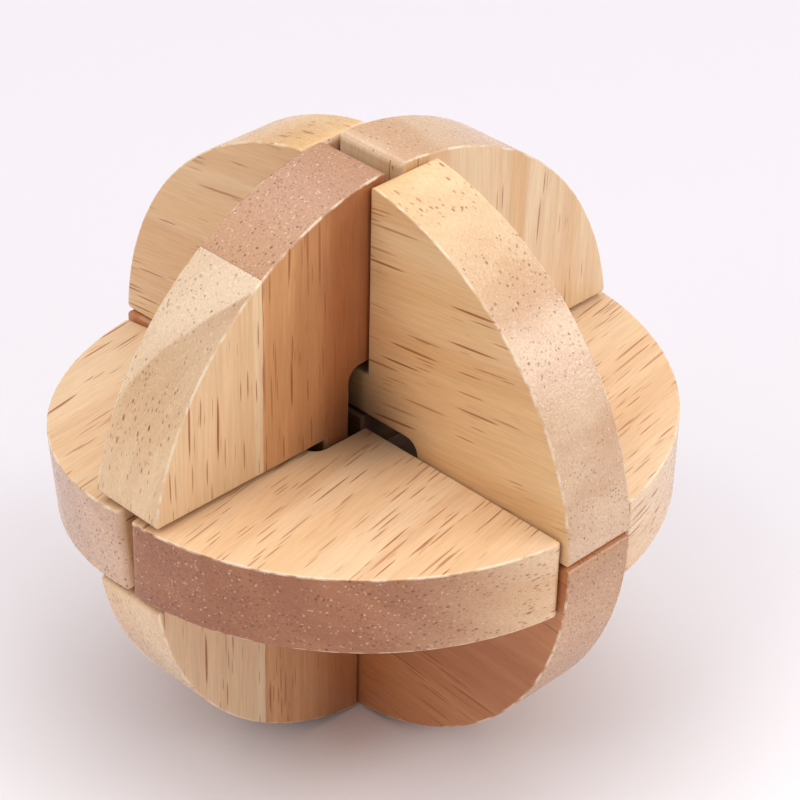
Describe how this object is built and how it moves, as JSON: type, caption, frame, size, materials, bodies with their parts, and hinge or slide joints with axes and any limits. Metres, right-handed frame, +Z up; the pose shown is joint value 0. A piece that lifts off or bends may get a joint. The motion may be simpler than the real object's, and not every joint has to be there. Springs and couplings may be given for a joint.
{
  "type": "wooden burr puzzle",
  "caption": "Ball-shaped wooden burr puzzle of three crossing boards whose halves slide out once the key half is drawn",
  "frame": {"origin": "centre of the small sanded flat under the key half, which the ball stands on", "axes": "+Z up along the key's travel; the level halves lie to +X and -X, the cross halves to -Y and +Y"},
  "size_m": [0.08, 0.08, 0.0797],
  "materials": {
    "honey_wood": "waxed, satin",
    "pale_wood": "waxed, satin",
    "brown_wood": "waxed, satin"
  },
  "bodies": {
    "key": {"key_half_bottom": "honey_wood"},
    "top": {"upright_half_top": "pale_wood"},
    "right": {"level_half_right": "honey_wood"},
    "left": {"level_half_left": "honey_wood"},
    "front": {"cross_half_front_inner_stave": "brown_wood", "cross_half_front_upper_stave": "pale_wood", "cross_half_front_lower_stave": "pale_wood"},
    "back": {"cross_half_back": "honey_wood"}
  },
  "joints": [
    {"name": "lift_off_key", "type": "slide", "parent": "key", "child": "top", "axis": [0, 0, 1], "range_m": [0, 0.08]},
    {"name": "right_out", "type": "slide", "parent": "top", "child": "right", "axis": [1, 0, 0], "range_m": [0, 0.024]},
    {"name": "left_out", "type": "slide", "parent": "top", "child": "left", "axis": [-1, 0, 0], "range_m": [0, 0.024]},
    {"name": "front_out", "type": "slide", "parent": "top", "child": "front", "axis": [0, -1, 0], "range_m": [0, 0.008]},
    {"name": "back_out", "type": "slide", "parent": "top", "child": "back", "axis": [0, 1, 0], "range_m": [0, 0.008]}
  ],
  "couplings": [
    {"joint": "right_out", "follows": "lift_off_key", "ratio": 0.3},
    {"joint": "left_out", "follows": "lift_off_key", "ratio": 0.3},
    {"joint": "front_out", "follows": "lift_off_key", "ratio": 0.1},
    {"joint": "back_out", "follows": "lift_off_key", "ratio": 0.1}
  ]
}
